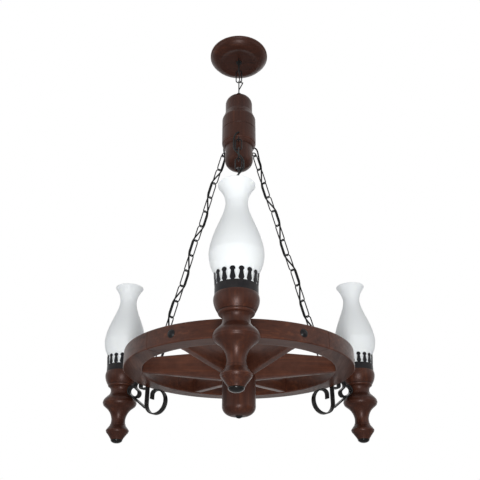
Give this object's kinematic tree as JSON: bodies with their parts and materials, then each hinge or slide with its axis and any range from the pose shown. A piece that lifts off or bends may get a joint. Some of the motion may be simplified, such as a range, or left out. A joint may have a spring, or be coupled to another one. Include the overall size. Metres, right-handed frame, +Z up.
{
  "type": "wagon wheel chandelier",
  "caption": "Wooden wagon wheel hung by chains from a turned body and canopy, with glass chimney lamps on iron scroll brackets.",
  "frame": {"origin": "middle of the canopy's back, on the ceiling, between the two ceiling screws", "axes": "+Z up into the ceiling, -Y towards the front lamp, +X to its right"},
  "size_m": [0.679, 0.6343, 1.0396],
  "materials": {
    "varnished_wood": "glossy dark reddish-brown varnish",
    "dowel_wood": "bare hardwood",
    "black_iron": "satin black lacquer",
    "black_sheet": "satin black lacquer on sheet",
    "black_gloss": "glossy black",
    "zinc_steel": "zinc plated",
    "tube_brass": "plain threaded tube",
    "cream_plastic": "moulded",
    "holder_plastic": "moulded",
    "black_lead": "smooth flexible lead",
    "opal_glass": "satin white opal",
    "bulb_glass": "frosted white"
  },
  "bodies": {
    "ceiling_fitting": {"ceiling_bar": "zinc_steel", "canopy": "varnished_wood", "ceiling_hook": "black_iron", "hook_nut": "zinc_steel", "terminal_block": "cream_plastic", "supply_lead_top": "black_lead"},
    "link_1": {"upper_link": "black_iron", "supply_lead_upper": "black_lead"},
    "link_2": {"lower_link": "black_iron", "supply_lead_lower": "black_lead"},
    "pendant": {"supply_lead_end": "black_lead", "body_eye_bolt": "black_iron", "body_upper": "varnished_wood", "body_lower": "varnished_wood", "rod_nuts": "zinc_steel", "junction_block": "cream_plastic", "body_chain_eyes": "black_iron", "rim_chain_eyes": "black_iron", "chain_front": "black_iron", "chain_right": "black_iron", "chain_left": "black_iron", "felloe_front": "varnished_wood", "felloe_right": "varnished_wood", "felloe_back": "varnished_wood", "felloe_left": "varnished_wood", "felloe_dowels": "dowel_wood", "spoke_1": "varnished_wood", "spoke_2": "varnished_wood", "spoke_3": "varnished_wood", "spoke_4": "varnished_wood", "spoke_5": "varnished_wood", "spoke_6": "varnished_wood", "spoke_bolts": "black_iron", "hub": "varnished_wood", "hub_bolt": "black_iron", "scroll_bar_front": "black_iron", "scroll_bar_right": "black_iron", "scroll_bar_left": "black_iron", "braces": "black_iron", "s_scrolls": "black_iron", "bracket_screws": "black_iron", "lamp_tubes": "tube_brass", "lamp_end_caps": "black_gloss", "lamp_leads": "black_lead", "lamp_body_front": "varnished_wood", "lamp_body_right": "varnished_wood", "lamp_body_left": "varnished_wood", "gallery_front": "black_sheet", "gallery_right": "black_sheet", "gallery_left": "black_sheet", "lampholder_front": "holder_plastic", "lampholder_right": "holder_plastic", "lampholder_left": "holder_plastic"},
    "bulb_front": {"bulb_front": "bulb_glass"},
    "bulb_right": {"bulb_right": "bulb_glass"},
    "bulb_left": {"bulb_left": "bulb_glass"},
    "chimney_front": {"chimney_front": "opal_glass"},
    "chimney_right": {"chimney_right": "opal_glass"},
    "chimney_left": {"chimney_left": "opal_glass"}
  },
  "joints": [
    {"name": "hook_swing", "type": "hinge", "parent": "ceiling_fitting", "child": "link_1", "pos_m": [0, 0, -0.0565], "axis": [0, 1, 0], "range_deg": [-20, 20]},
    {"name": "link_swing", "type": "hinge", "parent": "link_1", "child": "link_2", "pos_m": [0, 0, -0.09705], "axis": [1, 0, 0], "range_deg": [-20, 20]},
    {"name": "pendant_swing", "type": "hinge", "parent": "link_2", "child": "pendant", "pos_m": [0, 0, -0.13785], "axis": [0, 1, 0], "range_deg": [-20, 20]},
    {"name": "lift_chimney_front", "type": "slide", "parent": "pendant", "child": "chimney_front", "axis": [0, 0, 1], "range_m": [0, 0.13]},
    {"name": "unscrew_bulb_front", "type": "hinge", "parent": "pendant", "child": "bulb_front", "pos_m": [0, -0.334, -0.85663], "axis": [0, 0, 1], "range_deg": [0, 1080]},
    {"name": "lift_chimney_right", "type": "slide", "parent": "pendant", "child": "chimney_right", "axis": [0, 0, 1], "range_m": [0, 0.13]},
    {"name": "unscrew_bulb_right", "type": "hinge", "parent": "pendant", "child": "bulb_right", "pos_m": [0.28925, 0.167, -0.85663], "axis": [0, 0, 1], "range_deg": [0, 1080]},
    {"name": "lift_chimney_left", "type": "slide", "parent": "pendant", "child": "chimney_left", "axis": [0, 0, 1], "range_m": [0, 0.13]},
    {"name": "unscrew_bulb_left", "type": "hinge", "parent": "pendant", "child": "bulb_left", "pos_m": [-0.28925, 0.167, -0.85663], "axis": [0, 0, 1], "range_deg": [0, 1080]}
  ]
}
